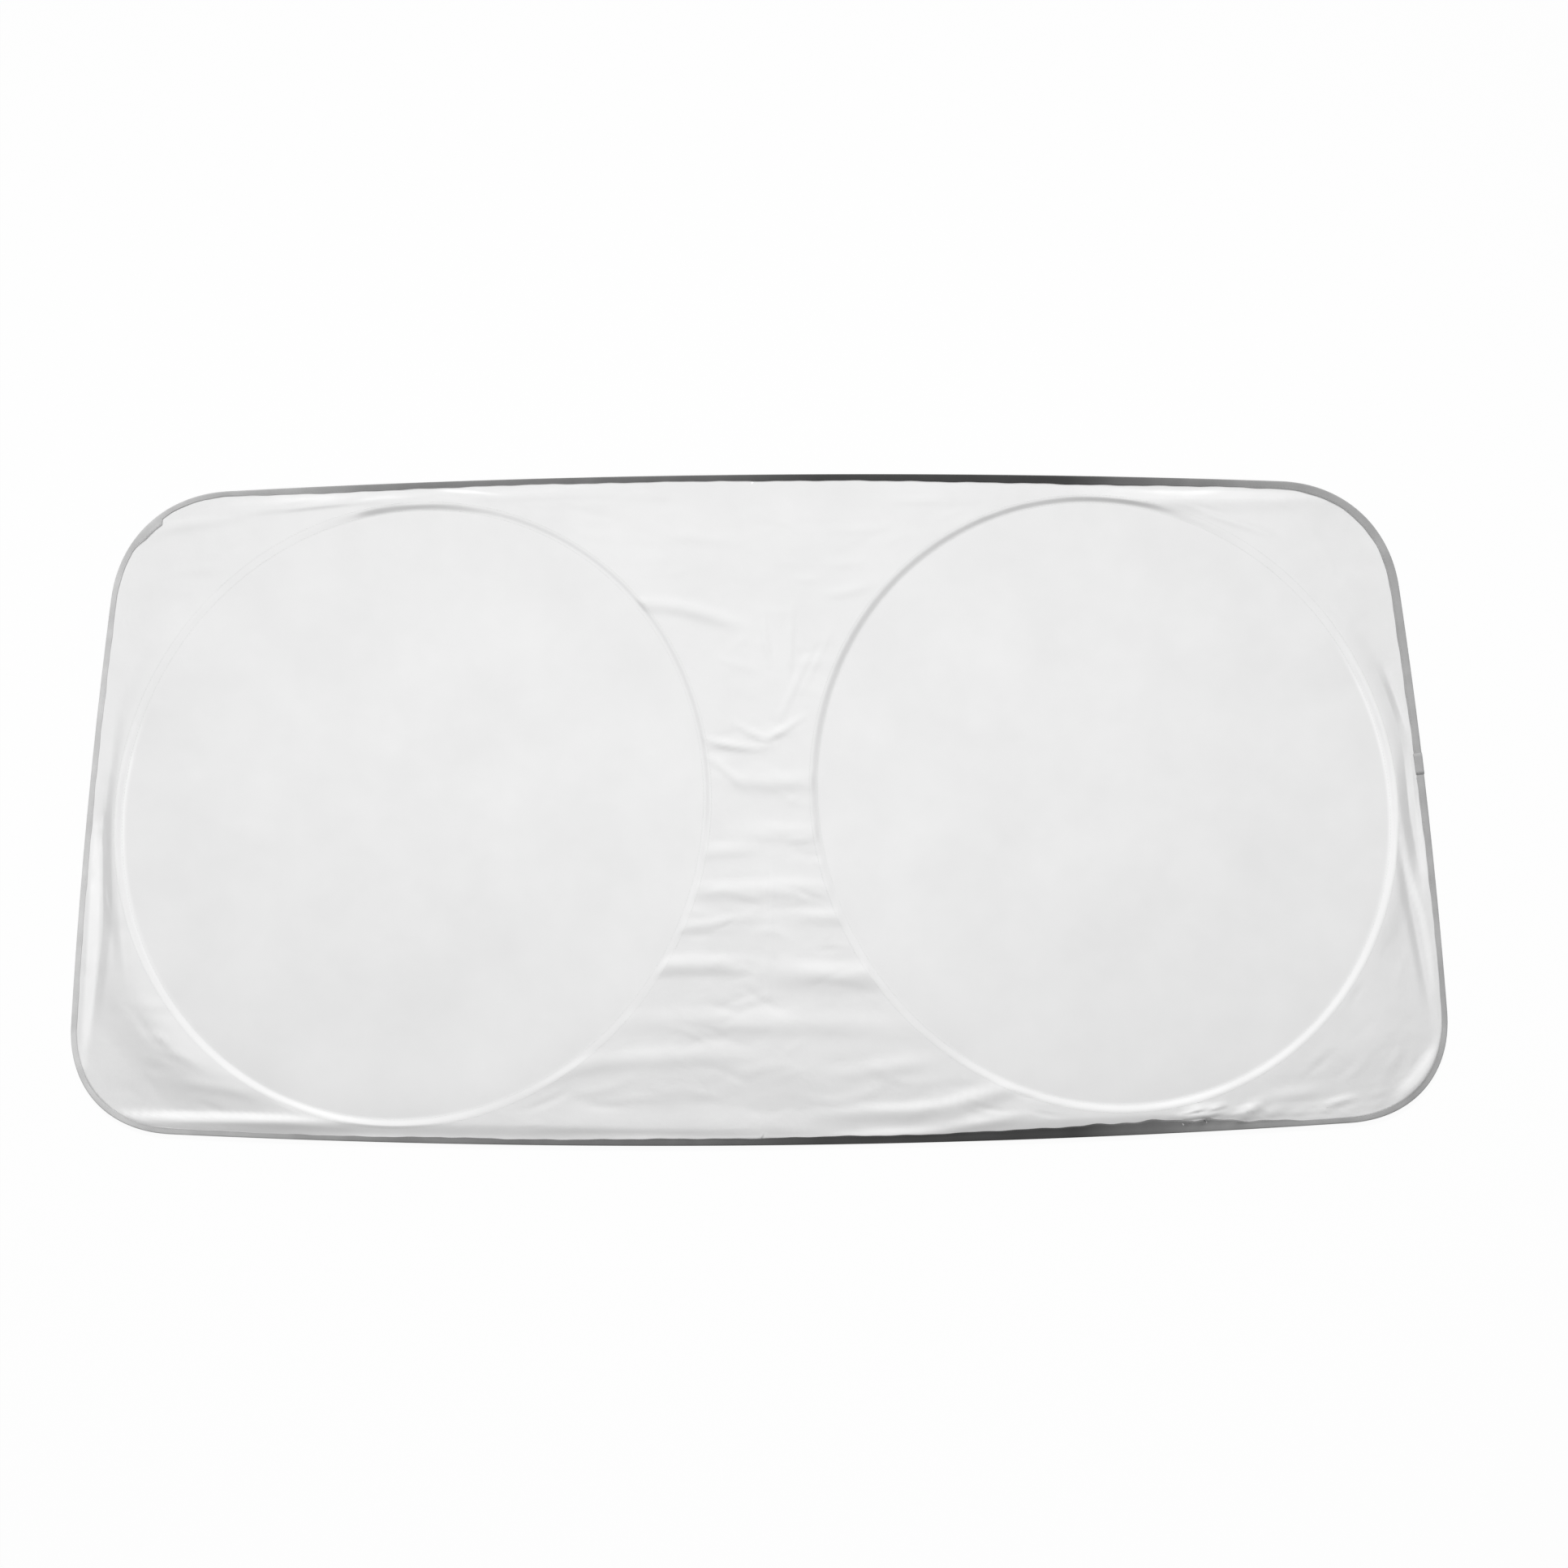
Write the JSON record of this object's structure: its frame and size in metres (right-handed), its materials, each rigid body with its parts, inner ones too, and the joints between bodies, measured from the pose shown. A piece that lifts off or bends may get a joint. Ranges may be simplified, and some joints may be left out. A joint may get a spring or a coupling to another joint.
{
  "type": "windscreen sunshade",
  "caption": "Pop-up windscreen sunshade lying open: bowed silver-white cloth with a dark bound edge and two large sprung hoops under the cloth.",
  "frame": {"origin": "under the middle of the outline, on the surface that the shade lies on", "axes": "+X along the width, +Y towards the shorter top edge, +Z out of the front face, which lies upwards"},
  "size_m": [1.4516, 0.7076, 0.007],
  "materials": {
    "silver_cloth": "silver-white coated polyester, satin",
    "black_binding": "woven polyester edge tape, matt with a soft sheen",
    "spring_steel": "drawn spring wire",
    "crimped_steel": "plated, crimped",
    "casing_tape": "woven polyester tape, matt"
  },
  "bodies": {
    "root": {"front_panel": "silver_cloth", "edge_binding": "black_binding", "perimeter_wire": "spring_steel", "perimeter_ferrule": "crimped_steel", "left_hoop_wire": "spring_steel", "left_hoop_ferrule": "crimped_steel", "left_hoop_casing": "casing_tape", "right_hoop_wire": "spring_steel", "right_hoop_ferrule": "crimped_steel", "right_hoop_casing": "casing_tape"}
  },
  "joints": []
}
